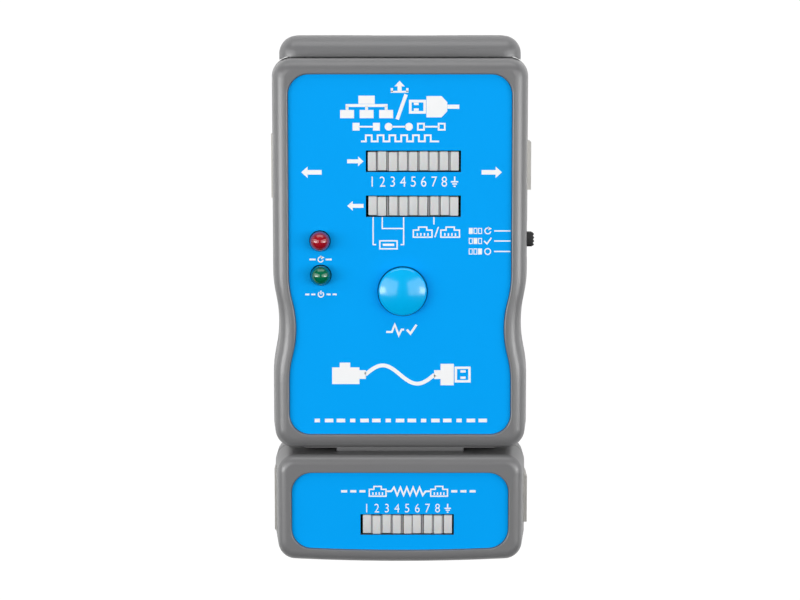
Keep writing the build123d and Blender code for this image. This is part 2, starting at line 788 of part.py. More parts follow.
def build_nodes():
    nodes = {}
    nodes["front_shell"], nodes["rear_shell"] = main_shells()
    nodes["end_block"] = end_block()
    nodes["face_label"] = main_label()
    nodes["main_board"] = main_board()
    nodes["board_screws"] = group(board_screws())
    nodes["case_screws"] = group([case_screw(x, y) for x, y in main_boss_places])
    nodes["tx_leds"] = group(led_row(tx_row))
    nodes["rx_leds"] = group(led_row(rx_row))
    nodes["auto_led"] = round_led(*auto_lamp)
    nodes["power_led"] = round_led(*power_lamp)
    nodes["test_button"] = test_button()
    nodes["test_plunger"] = post(button_x, button_y, 1.7, plunger_top_z - 2.3, plunger_top_z)
    nodes["test_switch"] = test_switch()
    nodes["mode_switch"] = mode_switch()
    nodes["mode_knob"] = mode_knob()
    nodes["battery"] = battery()
    nodes["battery_snap"] = battery_snap()
    nodes["lead_red"] = snap_lead(-16.5, 19.5, -9.5, 21.5)
    nodes["lead_black"] = snap_lead(-22.5, 21.9, -12.5, 18.4)
    nodes["battery_door"] = battery_door()
    nodes["capacitors"] = group(capacitors())
    nodes["controller_chip"] = controller_chip()
    nodes["resistors"] = group(chip_resistors((-6.9, 29.4), 9, led_pitch))

    socket_names = ("shell", "insert", "contacts")
    lan = lan_socket()
    usb_b = usb_b_socket()
    usb_a = usb_a_socket()
    nodes.update(socket_nodes("tx_lan", lan, socket_names, tx_lan_x, tx_mouth_y, lan_z, 0))
    nodes.update(socket_nodes("tx_usb_b", usb_b, socket_names, tx_usb_b_x, tx_mouth_y, usb_b_z, 0))
    usb_a_names = ("shell", "tongue", "contacts")
    nodes.update(socket_nodes("tx_usb_a", usb_a, usb_a_names, tx_usb_a_x, tx_mouth_y, usb_a_z, 0))
    nodes.update(socket_nodes("rx_lan", lan, socket_names, rx_lan_mouth_x, rx_y, lan_z, 90))
    nodes.update(socket_nodes("rx_usb", usb_b, socket_names, rx_usb_mouth_x, rx_y, usb_b_z, -90))

    nodes["remote_front_shell"], nodes["remote_rear_shell"] = remote_shells()
    nodes["remote_label"] = remote_label()
    nodes["remote_board"] = remote_board()
    nodes["remote_leds"] = group(led_row(remote_row))
    nodes["remote_resistors"] = group(chip_resistors((-7.1, -52.1), 8, led_pitch))
    nodes["remote_screws"] = group([case_screw(x, y) for x, y in remote_boss_places])
    place_lan = (remote_lan_mouth_x, remote_socket_y, lan_z, 90)
    nodes.update(socket_nodes("remote_lan", lan, socket_names, *place_lan))
    place_usb = (remote_usb_mouth_x, remote_socket_y, usb_b_z, -90)
    nodes.update(socket_nodes("remote_usb", usb_b, socket_names, *place_usb))
    return nodes


os.makedirs("parts", exist_ok=True)
for name, shape in build_nodes().items():
    export_step(shape, f"parts/{name}.step")
    print(name, round(shape.volume, 2))
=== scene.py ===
import bmesh
import bpy
import json
import math
from mathutils import Matrix, Vector


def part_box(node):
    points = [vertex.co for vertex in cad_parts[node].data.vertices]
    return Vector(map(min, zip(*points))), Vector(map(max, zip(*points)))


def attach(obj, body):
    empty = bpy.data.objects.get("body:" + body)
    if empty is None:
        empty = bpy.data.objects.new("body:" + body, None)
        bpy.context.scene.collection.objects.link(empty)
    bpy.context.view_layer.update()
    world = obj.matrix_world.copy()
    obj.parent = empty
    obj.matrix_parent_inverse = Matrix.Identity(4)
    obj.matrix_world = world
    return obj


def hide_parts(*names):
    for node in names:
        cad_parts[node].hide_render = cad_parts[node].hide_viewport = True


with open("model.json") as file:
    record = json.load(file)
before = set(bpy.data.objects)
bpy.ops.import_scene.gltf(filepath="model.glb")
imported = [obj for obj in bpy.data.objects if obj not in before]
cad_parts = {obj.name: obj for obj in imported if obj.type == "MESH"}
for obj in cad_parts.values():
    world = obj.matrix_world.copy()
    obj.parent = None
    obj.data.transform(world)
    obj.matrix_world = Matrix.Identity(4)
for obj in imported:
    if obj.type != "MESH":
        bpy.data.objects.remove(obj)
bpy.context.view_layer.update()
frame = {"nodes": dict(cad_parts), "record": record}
cad = frame["nodes"]
mm = 0.001
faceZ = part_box("face_label")[1].z
print("frame loaded", len(cad), "nodes")


# ---- camera, lights and floor

studio = {
    "aim": (0.0, 0.0005, faceZ), "tilt": 7.0, "distance": 0.56, "lens": 101.6,
    "boxPlace": (0.58, 0.09, 0.56), "boxSize": (0.50, 1.15), "boxPower": 3.9,
    "corePlace": (0.56, -0.04, 0.46), "coreSize": (0.16, 0.40), "corePower": 1.3, "rightShare": 0.88,
    "backPlace": (0.0, 0.70, 0.25), "backSize": (0.9, 0.4), "backPower": 1.85,
    "skyFrom": -0.6, "skyTo": 1.0, "skyLow": 0.0, "skyHigh": 1.45,
    "paper": 0.86, "glow": 0.12, "bleach": 1.06, "whiteOut": 0.94,
}


def aimAt(thing, target):
    way = Vector(target) - thing.location
    thing.rotation_euler = way.to_track_quat("-Z", "Y").to_euler()


def softBox(name, place, size, power):
    lamp = bpy.data.lights.new(name, "AREA")
    lamp.shape = "RECTANGLE"
    lamp.size, lamp.size_y = size
    lamp.energy = power
    box = bpy.data.objects.new(name, lamp)
    box.location = place
    bpy.context.scene.collection.objects.link(box)
    aimAt(box, (0, 0, 0.02))


def makeStudio():
    scene = bpy.context.scene
    scene.view_settings.view_transform = "Standard"
    lens = bpy.data.cameras.new("camera")
    lens.lens = studio["lens"]
    lens.clip_start = 0.01
    camera = bpy.data.objects.new("camera", lens)
    tilt = math.radians(studio["tilt"])
    stand = Vector((0, math.sin(tilt), math.cos(tilt))) * studio["distance"]
    camera.location = Vector(studio["aim"]) + stand
    camera.rotation_euler = (-tilt, 0, 0)
    scene.collection.objects.link(camera)
    scene.camera = camera
    # a tall box with a small bright core on each side, and a low one behind the sockets' end
    for name, side, share in (("left", -1, 1.0), ("right", 1, studio["rightShare"])):
        for part in ("box", "core"):
            x, y, z = studio[part + "Place"]
            place, power = (side * x, y, z), studio[part + "Power"] * share
            softBox(name + part.title(), place, studio[part + "Size"], power)
    softBox("backBox", studio["backPlace"], studio["backSize"], studio["backPower"])


def makeSky():
    # bright behind the sockets' end and near black at the remote's end
    world = bpy.data.worlds.new("studioRoom")
    bpy.context.scene.world = world
    world.use_nodes = True
    tree = world.node_tree
    back = tree.nodes["Background"]
    coord = tree.nodes.new("ShaderNodeTexCoord")
    split = tree.nodes.new("ShaderNodeSeparateXYZ")
    span = tree.nodes.new("ShaderNodeMapRange")
    tree.links.new(coord.outputs["Generated"], split.inputs[0])
    tree.links.new(split.outputs["Y"], span.inputs["Value"])
    span.inputs["From Min"].default_value = studio["skyFrom"]
    span.inputs["From Max"].default_value = studio["skyTo"]
    span.inputs["To Min"].default_value = studio["skyLow"]
    span.inputs["To Max"].default_value = studio["skyHigh"]
    tree.links.new(span.outputs["Result"], back.inputs["Strength"])


def makeFloor():
    bm = bmesh.new()
    bmesh.ops.create_grid(bm, x_segments=1, y_segments=1, size=4.0)
    bmesh.ops.translate(bm, verts=bm.verts, vec=(0, 0, -0.0002))
    mesh = bpy.data.meshes.new("floor")
    bm.to_mesh(mesh)
    bm.free()
    floor = bpy.data.objects.new("floor", mesh)
    bpy.context.scene.collection.objects.link(floor)
    material = bpy.data.materials.new("floorPaper")
    material.use_nodes = True
    tree = material.node_tree
    paper = tree.nodes["Principled BSDF"]
    paper.inputs["Base Color"].default_value = (studio["paper"],) * 3 + (1,)
    paper.inputs["Roughness"].default_value = 0.9
    paper.inputs["Specular IOR Level"].default_value = 0.1
    paper.inputs["Emission Color"].default_value = (1, 1, 1, 1)
    paper.inputs["Emission Strength"].default_value = studio["glow"]
    white = tree.nodes.new("ShaderNodeEmission")  # most of what the camera sees is bare white
    white.inputs["Strength"].default_value = studio["bleach"]
    path = tree.nodes.new("ShaderNodeLightPath")
    part = tree.nodes.new("ShaderNodeMath")
    part.operation = "MULTIPLY"
    part.inputs[1].default_value = studio["whiteOut"]
    bleach = tree.nodes.new("ShaderNodeMixShader")
    clear = tree.nodes.new("ShaderNodeBsdfTransparent")  # from below, the floor isn't seen
    facing = tree.nodes.new("ShaderNodeNewGeometry")
    mix = tree.nodes.new("ShaderNodeMixShader")
    tree.links.new(path.outputs["Is Camera Ray"], part.inputs[0])
    tree.links.new(part.outputs[0], bleach.inputs["Fac"])
    tree.links.new(paper.outputs["BSDF"], bleach.inputs[1])
    tree.links.new(white.outputs["Emission"], bleach.inputs[2])
    tree.links.new(facing.outputs["Backfacing"], mix.inputs["Fac"])
    tree.links.new(bleach.outputs["Shader"], mix.inputs[1])
    tree.links.new(clear.outputs["BSDF"], mix.inputs[2])
    tree.links.new(mix.outputs["Shader"], tree.nodes["Material Output"].inputs["Surface"])
    mesh.materials.append(material)


makeStudio()
makeSky()
makeFloor()
print("studio ready")


# ---- shader groups that more than one finish uses

def shaderGroup(name, inputs, outputs):
    group = bpy.data.node_groups.new(name, "ShaderNodeTree")
    for label, value in inputs:
        socket = group.interface.new_socket(label, in_out="INPUT", socket_type="NodeSocketFloat")
        socket.default_value = value
    for label in outputs:
        group.interface.new_socket(label, in_out="OUTPUT", socket_type="NodeSocketFloat")
    return group, group.nodes.new("NodeGroupInput"), group.nodes.new("NodeGroupOutput")


def mathNode(tree, operation, first, second):
    node = tree.nodes.new("ShaderNodeMath")
    node.operation = operation
    for socket, value in zip(node.inputs, (first, second)):
        if hasattr(value, "links"):
            tree.links.new(value, socket)
        else:
            socket.default_value = value
    return node.outputs[0]


def noiseNode(tree, vector, scale, detail, rough=0.5):
    node = tree.nodes.new("ShaderNodeTexNoise")
    tree.links.new(vector, node.inputs["Vector"])
    if hasattr(scale, "links"):
        tree.links.new(scale, node.inputs["Scale"])
    else:
        node.inputs["Scale"].default_value = scale
    node.inputs["Detail"].default_value = detail
    node.inputs["Roughness"].default_value = rough
    return node.outputs["Fac"]


def makeGrainGroup():
    group, start, end = shaderGroup(
        "mouldGrain", [("Scale", 2200.0), ("Spread", 60.0)], ["Height", "Tone"])
    place = group.nodes.new("ShaderNodeTexCoord").outputs["Object"]
    fine = noiseNode(group, place, start.outputs["Scale"], 3.0, 0.6)
    cell = group.nodes.new("ShaderNodeTexVoronoi")
    group.links.new(place, cell.inputs["Vector"])
    group.links.new(start.outputs["Scale"], cell.inputs["Scale"])
    bumps = mathNode(group, "MULTIPLY", cell.outputs["Distance"], 0.6)
    group.links.new(mathNode(group, "ADD", fine, bumps), end.inputs["Height"])
    group.links.new(noiseNode(group, place, start.outputs["Spread"], 4.0), end.inputs["Tone"])
    return group


def makeHandledGroup():
    group, start, end = shaderGroup(
        "handledGloss", [("Low", 0.3), ("High", 0.45), ("Scale", 70.0)], ["Roughness"])
    place = group.nodes.new("ShaderNodeTexCoord").outputs["Object"]
    smears = noiseNode(group, place, start.outputs["Scale"], 5.0, 0.65)
    span = mathNode(group, "SUBTRACT", start.outputs["High"], start.outputs["Low"])
    lift = mathNode(group, "MULTIPLY", smears, span)
    group.links.new(mathNode(group, "ADD", lift, start.outputs["Low"]), end.inputs["Roughness"])
    return group


def makeRollGroup():
    group, start, end = shaderGroup("rolledSheet", [("Scale", 900.0)], ["Height", "Tone"])
    place = group.nodes.new("ShaderNodeTexCoord").outputs["Object"]
    stretch = group.nodes.new("ShaderNodeMapping")
    stretch.inputs["Scale"].default_value = (1.0, 1.0, 0.06)
    group.links.new(place, stretch.inputs["Vector"])
    lines = noiseNode(group, stretch.outputs["Vector"], start.outputs["Scale"], 3.0)
    blotch = noiseNode(group, place, 260.0, 4.0, 0.6)
    group.links.new(lines, end.inputs["Height"])
    group.links.new(blotch, end.inputs["Tone"])
    return group


grainGroup = makeGrainGroup()
handledGroup = makeHandledGroup()
rollGroup = makeRollGroup()


# ---- finishes

def newFinish(name, **values):
    material = bpy.data.materials.new(name)
    material.use_nodes = True
    shader = material.node_tree.nodes["Principled BSDF"]
    for label, value in values.items():
        socket = shader.inputs[label.replace("_", " ")]
        socket.default_value = (*value, 1.0) if isinstance(value, tuple) else value
    return material, material.node_tree, shader


def addGroup(tree, group, **values):
    node = tree.nodes.new("ShaderNodeGroup")
    node.node_tree = group
    for label, value in values.items():
        node.inputs[label].default_value = value
    return node


def blendColours(tree, factor, dark, light):
    mix = tree.nodes.new("ShaderNodeMix")
    mix.data_type = "RGBA"
    tree.links.new(factor, mix.inputs["Factor"])
    mix.inputs["A"].default_value = (*dark, 1)
    mix.inputs["B"].default_value = (*light, 1)
    return mix.outputs["Result"]


def addBump(tree, shader, height, distance, strength=1.0):
    bump = tree.nodes.new("ShaderNodeBump")
    bump.inputs["Distance"].default_value = distance
    bump.inputs["Strength"].default_value = strength
    tree.links.new(height, bump.inputs["Height"])
    tree.links.new(bump.outputs["Normal"], shader.inputs["Normal"])


def mouldedPlastic(name, dark, light, low, high, grain=2200.0, depth=0.00002, **values):
    material, tree, shader = newFinish(name, **values)
    texture = addGroup(tree, grainGroup, Scale=grain)
    gloss = addGroup(tree, handledGroup, Low=low, High=high)
    tree.links.new(blendColours(tree, texture.outputs["Tone"], dark, light), shader.inputs["Base Color"])
    tree.links.new(gloss.outputs["Roughness"], shader.inputs["Roughness"])
    addBump(tree, shader, texture.outputs["Height"], depth, 0.6)
    return material


def platedMetal(name, dark, light, low, high, depth=0.00001):
    material, tree, shader = newFinish(name, Metallic=1.0)
    sheet = addGroup(tree, rollGroup)
    gloss = addGroup(tree, handledGroup, Low=low, High=high, Scale=400.0)
    tree.links.new(blendColours(tree, sheet.outputs["Tone"], dark, light), shader.inputs["Base Color"])
    tree.links.new(gloss.outputs["Roughness"], shader.inputs["Roughness"])
    addBump(tree, shader, sheet.outputs["Height"], depth, 0.5)
    return material


def boardFinish():
    material, tree, shader = newFinish("solderMask", Coat_Weight=0.3)
    place = tree.nodes.new("ShaderNodeTexCoord").outputs["Object"]
    brick = tree.nodes.new("ShaderNodeTexBrick")
    brick.inputs["Color1"].default_value = (0.012, 0.14, 0.045, 1)
    brick.inputs["Color2"].default_value = (0.016, 0.17, 0.055, 1)
    brick.inputs["Mortar"].default_value = (0.03, 0.27, 0.1, 1)
    brick.inputs["Scale"].default_value = 260.0
    brick.inputs["Mortar Size"].default_value = 0.05
    tree.links.new(place, brick.inputs["Vector"])
    tree.links.new(brick.outputs["Color"], shader.inputs["Base Color"])
    gloss = addGroup(tree, handledGroup, Low=0.29, High=0.42)
    tree.links.new(gloss.outputs["Roughness"], shader.inputs["Roughness"])
    addBump(tree, shader, brick.outputs["Fac"], 0.00003, 0.5)
    return material


def batteryFinish():
    material, tree, shader = newFinish("batteryJacket", Coat_Weight=0.4, Metallic=0.3)
    place = tree.nodes.new("ShaderNodeTexCoord").outputs["Object"]
    split = tree.nodes.new("ShaderNodeSeparateXYZ")
    tree.links.new(place, split.inputs[0])
    band = mathNode(tree, "GREATER_THAN", split.outputs["X"], 0.006)
    colour = blendColours(tree, band, (0.03, 0.03, 0.035), (0.42, 0.24, 0.06))
    tree.links.new(colour, shader.inputs["Base Color"])
    gloss = addGroup(tree, handledGroup, Low=0.29, High=0.42)
    tree.links.new(gloss.outputs["Roughness"], shader.inputs["Roughness"])
    return material


def lampFinish(name, deep, bright):
    material, tree, shader = newFinish(
        name, Coat_Weight=1.0, Coat_Roughness=0.03, IOR=1.5, Subsurface_Weight=0.15, Subsurface_Scale=0.002)
    # painted shade: the lens colour runs from bright where the dome faces the camera to deep at its edges,
    # set by viewing angle alone
    rim = tree.nodes.new("ShaderNodeLayerWeight")
    rim.inputs["Blend"].default_value = 0.35
    tree.links.new(blendColours(tree, rim.outputs["Facing"], bright, deep), shader.inputs["Base Color"])
    gloss = addGroup(tree, handledGroup, Low=0.04, High=0.1, Scale=500.0)
    tree.links.new(gloss.outputs["Roughness"], shader.inputs["Roughness"])
    return material


casingGrey = mouldedPlastic("casingGrey", (0.182, 0.182, 0.186), (0.19, 0.19, 0.194), 0.285, 0.325,
                            grain=1900.0, depth=0.000003, Specular_IOR_Level=0.75)
labelBlue = mouldedPlastic("labelBlue", (0.0, 0.37, 0.94), (0.0, 0.385, 0.97), 0.42, 0.52,
                           grain=4200.0, depth=0.000006, Specular_IOR_Level=0.05)
buttonBlue = mouldedPlastic("buttonBlue", (0.0, 0.48, 0.94), (0.0, 0.5, 0.97), 0.16, 0.24,
                            grain=900.0, depth=0.000004, Coat_Weight=0.5, Coat_Roughness=0.1)
ledSpacer = mouldedPlastic("ledSpacer", (0.25, 0.25, 0.26), (0.29, 0.29, 0.3), 0.4, 0.5)
blackPlastic = mouldedPlastic("blackPlastic", (0.012, 0.012, 0.013), (0.02, 0.02, 0.021), 0.4, 0.55)
whitePlastic = mouldedPlastic("whitePlastic", (0.72, 0.7, 0.65), (0.8, 0.78, 0.74), 0.3, 0.42)
printWhite = mouldedPlastic("printWhite", (0.93, 0.94, 0.95), (0.96, 0.97, 0.98), 0.45, 0.55,
                            grain=5200.0, depth=0.000003)
lensWhite = mouldedPlastic("lensWhite", (0.62, 0.63, 0.63), (0.7, 0.71, 0.71), 0.29, 0.36,
                           grain=1500.0, depth=0.000004, Subsurface_Weight=0.2, Subsurface_Scale=0.001)
leadRed = mouldedPlastic("leadRed", (0.42, 0.012, 0.012), (0.5, 0.02, 0.018), 0.35, 0.5)
leadBlack = mouldedPlastic("leadBlack", (0.014, 0.014, 0.014), (0.022, 0.022, 0.022), 0.35, 0.5)
socketMetal = platedMetal("socketMetal", (0.8, 0.78, 0.73), (0.92, 0.91, 0.87), 0.34, 0.48)
screwSteel = platedMetal("screwSteel", (0.5, 0.5, 0.49), (0.62, 0.62, 0.6), 0.29, 0.42)
contactGold = platedMetal("contactGold", (0.78, 0.52, 0.18), (0.9, 0.66, 0.28), 0.16, 0.26)
solderMask = boardFinish()
batteryJacket = batteryFinish()
lampRed = lampFinish("lampRed", (0.05, 0.0, 0.004), (0.42, 0.008, 0.02))
lampGreen = lampFinish("lampGreen", (0.0, 0.02, 0.008), (0.0, 0.17, 0.075))

finishOf = {
    "casing_grey": casingGrey, "label_blue": labelBlue, "button_blue": buttonBlue,
    "black_plastic": blackPlastic, "white_plastic": whitePlastic, "board_green": solderMask,
    "screw_steel": screwSteel, "led_white": lensWhite, "led_red": lampRed, "led_green": lampGreen,
    "battery_case": batteryJacket, "lead_red": leadRed, "lead_black": leadBlack,
    "socket_metal": socketMetal, "contact_gold": contactGold,
}
slotOf = {part["node"]: part["material_slot"] for part in frame["record"]["subparts"]}


# ---- helpers for pieces

def addPiece(name, mesh, body, slotName, *nodes):
    piece = bpy.data.objects.new(name, mesh)
    bpy.context.scene.collection.objects.link(piece)
    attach(piece, body)
    if nodes:
        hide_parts(*nodes)
    return piece


def meshFrom(bm, name, finish=None, sharp=35.0):
    bmesh.ops.recalc_face_normals(bm, faces=bm.faces)
    mesh = bpy.data.meshes.new(name)
    bm.to_mesh(mesh)
    bm.free()
    mesh.polygons.foreach_set("use_smooth", [True] * len(mesh.polygons))
    mesh.set_sharp_from_angle(angle=math.radians(sharp))
    if finish:
        mesh.materials.append(finish)
    return mesh


def partObject(mesh):
    # a part that trees copy; it isn't linked to the scene
    return bpy.data.objects.new(mesh.name, mesh)


def addBox(bm, low, high, round=0.0, segments=3):
    made = bmesh.ops.create_cube(bm, size=1.0)["verts"]
    size = [h - l for l, h in zip(low, high)]
    middle = [(h + l) / 2 for l, h in zip(low, high)]
    bmesh.ops.scale(bm, verts=made, vec=size)
    bmesh.ops.translate(bm, verts=made, vec=middle)
    if round:
        edges = {edge for vert in made for edge in vert.link_edges}
        bmesh.ops.bevel(bm, geom=list(edges), offset=round, segments=segments,
                        profile=0.5, affect="EDGES")


def revolve(bm, profile, steps=96):
    # profile: (radius, height) pairs from the axis out and back to it
    rings = []
    for radius, height in profile:
        if radius < 1e-9:
            rings.append([bm.verts.new((0, 0, height))])
            continue
        turns = [2 * math.pi * i / steps for i in range(steps)]
        rings.append([bm.verts.new((radius * math.cos(t), radius * math.sin(t), height)) for t in turns])
    for low, high in zip(rings, rings[1:]):
        for i in range(steps):
            j = (i + 1) % steps
            if len(low) == 1:
                bm.faces.new((low[0], high[j], high[i]))
            elif len(high) == 1:
                bm.faces.new((low[i], low[j], high[0]))
            else:
                bm.faces.new((low[i], low[j], high[j], high[i]))


def arcPoints(centre, radius, start, end, count):
    # (radius, height) pairs; angles in degrees from straight up, turning outwards
    angles = [math.radians(start + (end - start) * i / count) for i in range(count + 1)]
    return [(centre[0] + radius * math.sin(a), centre[1] + radius * math.cos(a)) for a in angles]


def shifted(mesh, place):
    mesh.transform(Matrix.Translation(place))
    return mesh


# ---- trees that repeat a part

def growTree(name, inputs):
    tree = bpy.data.node_groups.new(name, "GeometryNodeTree")
    kinds = [("Geometry", "Geometry"), *inputs]
    for label, kind in kinds:
        tree.interface.new_socket(label, in_out="INPUT", socket_type="NodeSocket" + kind)
    tree.interface.new_socket("Geometry", in_out="OUTPUT", socket_type="NodeSocketGeometry")
    return tree, tree.nodes.new("NodeGroupInput"), tree.nodes.new("NodeGroupOutput")


def makeScatterTree():
    # copies a part to each point, leaned and turned by a small seeded amount
    tree, start, end = growTree("partsAtPoints", [
        ("Part", "Object"), ("Finish", "Material"), ("Lean", "Float"), ("Turn", "Float"), ("Seed", "Int")])
    part = tree.nodes.new("GeometryNodeObjectInfo")
    high = tree.nodes.new("ShaderNodeCombineXYZ")
    low = tree.nodes.new("ShaderNodeVectorMath")
    low.operation = "SCALE"
    low.inputs["Scale"].default_value = -1.0
    chance = tree.nodes.new("FunctionNodeRandomValue")
    chance.data_type = "FLOAT_VECTOR"
    turn = tree.nodes.new("FunctionNodeEulerToRotation")
    copies = tree.nodes.new("GeometryNodeInstanceOnPoints")
    whole = tree.nodes.new("GeometryNodeRealizeInstances")
    paint = tree.nodes.new("GeometryNodeSetMaterial")
    link = tree.links.new
    link(start.outputs["Part"], part.inputs["Object"])
    link(start.outputs["Lean"], high.inputs["X"])
    link(start.outputs["Lean"], high.inputs["Y"])
    link(start.outputs["Turn"], high.inputs["Z"])
    link(high.outputs[0], low.inputs[0])
    link(low.outputs[0], chance.inputs["Min"])
    link(high.outputs[0], chance.inputs["Max"])
    link(start.outputs["Seed"], chance.inputs["Seed"])
    link(chance.outputs["Value"], turn.inputs[0])
    link(start.outputs["Geometry"], copies.inputs["Points"])
    link(part.outputs["Geometry"], copies.inputs["Instance"])
    link(turn.outputs[0], copies.inputs["Rotation"])
    link(copies.outputs["Instances"], whole.inputs[0])
    link(whole.outputs[0], paint.inputs["Geometry"])
    link(start.outputs["Finish"], paint.inputs["Material"])
    link(paint.outputs[0], end.inputs[0])
    return tree


def makeRowTree(scatter):
    # an evenly spaced line of points, handed on to the tree above
    names = ["Part", "Finish", "Lean", "Turn", "Seed"]
    kinds = ["Object", "Material", "Float", "Float", "Int"]
    tree, start, end = growTree("partRow", [
        ("Count", "Int"), ("Start", "Vector"), ("Step", "Vector"), *zip(names, kinds)])
    line = tree.nodes.new("GeometryNodeMeshLine")
    line.mode = "OFFSET"
    copies = tree.nodes.new("GeometryNodeGroup")
    copies.node_tree = scatter
    tree.links.new(start.outputs["Count"], line.inputs["Count"])
    tree.links.new(start.outputs["Start"], line.inputs["Start Location"])
    tree.links.new(start.outputs["Step"], line.inputs["Offset"])
    tree.links.new(line.outputs["Mesh"], copies.inputs["Geometry"])
    for label in names:
        tree.links.new(start.outputs[label], copies.inputs[label])
    tree.links.new(copies.outputs[0], end.inputs[0])
    return tree


def makeWireTree():
    # a bent wire swept along the given line, then repeated in a row
    tree, start, end = growTree("wireRow", [
        ("Count", "Int"), ("Step", "Vector"), ("Thickness", "Float"), ("Bend", "Float"),
        ("Finish", "Material")])
    curve = tree.nodes.new("GeometryNodeMeshToCurve")
    bend = tree.nodes.new("GeometryNodeFilletCurve")
    ring = tree.nodes.new("GeometryNodeCurvePrimitiveCircle")
    sweep = tree.nodes.new("GeometryNodeCurveToMesh")
    line = tree.nodes.new("GeometryNodeMeshLine")
    line.mode = "OFFSET"
    copies = tree.nodes.new("GeometryNodeInstanceOnPoints")
    whole = tree.nodes.new("GeometryNodeRealizeInstances")
    paint = tree.nodes.new("GeometryNodeSetMaterial")
    bend.mode = "POLY"
    bend.inputs["Count"].default_value = 6
    ring.inputs["Resolution"].default_value = 12
    sweep.inputs["Fill Caps"].default_value = True
    link = tree.links.new
    link(start.outputs["Geometry"], curve.inputs[0])
    link(curve.outputs[0], bend.inputs["Curve"])
    link(start.outputs["Bend"], bend.inputs["Radius"])
    link(start.outputs["Thickness"], ring.inputs["Radius"])
    link(bend.outputs[0], sweep.inputs["Curve"])
    link(ring.outputs[0], sweep.inputs["Profile Curve"])
    link(start.outputs["Count"], line.inputs["Count"])
    link(start.outputs["Step"], line.inputs["Offset"])
    link(line.outputs["Mesh"], copies.inputs["Points"])
    link(sweep.outputs["Mesh"], copies.inputs["Instance"])
    link(copies.outputs["Instances"], whole.inputs[0])
    link(whole.outputs[0], paint.inputs["Geometry"])
    link(start.outputs["Finish"], paint.inputs["Material"])
    link(paint.outputs[0], end.inputs[0])
    return tree


scatterTree = makeScatterTree()
rowTree = makeRowTree(scatterTree)
wireTree = makeWireTree()


def grow(name, tree, values, points=(), lines=(), turn=0.0, place=(0, 0, 0)):
    base = bpy.data.meshes.new(name)
    base.from_pydata([Vector(p) for p in points], lines, [])
    holder = bpy.data.objects.new(name, base)
    bpy.context.scene.collection.objects.link(holder)
    modifier = holder.modifiers.new(name, "NODES")
    modifier.node_group = tree
    for item in tree.interface.items_tree:
        if item.in_out == "INPUT" and item.name in values:
            modifier[item.identifier] = values[item.name]
    holder.update_tag()
    graph = bpy.context.evaluated_depsgraph_get()
    mesh = bpy.data.meshes.new_from_object(holder.evaluated_get(graph), depsgraph=graph)
    bpy.data.objects.remove(holder)
    mesh.transform(Matrix.Translation(place) @ Matrix.Rotation(math.radians(turn), 4, "Z"))
    return mesh


# ---- flat LEDs, their spacers and legs

flatLed = {
    "width": 2.02 * mm, "length": 4.7 * mm, "bottom": 18.4 * mm, "top": 26.25 * mm, "round": 0.2 * mm,
    "count": 9, "pitch": 2.54 * mm, "lean": 0.005, "spacerWidth": 0.44 * mm, "spacerTop": 26.1 * mm,
    "legWidth": 0.5 * mm, "legSpread": 1.27 * mm, "boardTop": 15.8 * mm,
    "rows": [("tx", "main_unit", 3.3 * mm, 34.9 * mm, 3), ("rx", "main_unit", 3.3 * mm, 23.8 * mm, 8),
             ("remote", "remote", 1.8 * mm, -56.3 * mm, 5)],
}


def ledPart():
    half, tall = flatLed["width"] / 2, flatLed["length"] / 2
    bm = bmesh.new()
    addBox(bm, (-half, -tall, flatLed["bottom"]), (half, tall, flatLed["top"]), flatLed["round"])
    return partObject(meshFrom(bm, "ledPart"))


def spacerPart():
    half, tall = flatLed["spacerWidth"] / 2, flatLed["length"] / 2
    bm = bmesh.new()
    addBox(bm, (-half, -tall, flatLed["bottom"]), (half, tall, flatLed["spacerTop"]), 0.06 * mm, 1)
    return partObject(meshFrom(bm, "spacerPart"))


def legPart():
    half, spread = flatLed["legWidth"] / 2, flatLed["legSpread"]
    bm = bmesh.new()
    for y in (-spread, spread):
        low = (-half, y - half, flatLed["boardTop"])
        addBox(bm, low, (half, y + half, flatLed["bottom"] + 0.1 * mm))
    return partObject(meshFrom(bm, "legPart"))


def makeLedRows():
    count, pitch = flatLed["count"], flatLed["pitch"]
    lens, spacer, legs = ledPart(), spacerPart(), legPart()
    for name, body, x, y, seed in flatLed["rows"]:
        first = x - (count - 1) / 2 * pitch
        shared = {"Step": (pitch, 0, 0), "Turn": 0.0, "Seed": seed}
        lenses = {**shared, "Part": lens, "Finish": lensWhite, "Count": count, "Lean": flatLed["lean"],
                  "Start": (first, y, 0)}
        spacers = {**shared, "Part": spacer, "Finish": ledSpacer, "Count": count - 1, "Lean": 0.0,
                   "Start": (first + pitch / 2, y, 0)}
        feet = {**shared, "Part": legs, "Finish": screwSteel, "Count": count, "Lean": 0.0,
                "Start": (first, y, 0)}
        addPiece(name + "LedLenses", grow(name + "LedLenses", rowTree, lenses), body, "led_white",
                 name + "_leds")
        addPiece(name + "LedSpacers", grow(name + "LedSpacers", rowTree, spacers), body, "casing_grey")
        addPiece(name + "LedLegs", grow(name + "LedLegs", rowTree, feet), body, "screw_steel")


makeLedRows()
print("LED rows placed")


# ---- round LEDs

roundLed = {
    "radius": 2.45 * mm, "proud": 3.3 * mm, "flange": 2.9 * mm, "flangeLow": 19.0 * mm,
    "flangeTop": 20.2 * mm, "legs": 1.27 * mm,
    "lamps": [("autoLamp", "auto_led", "led_red", -19.8 * mm, 15.2 * mm),
              ("powerLamp", "power_led", "led_green", -19.6 * mm, 6.7 * mm)],
}


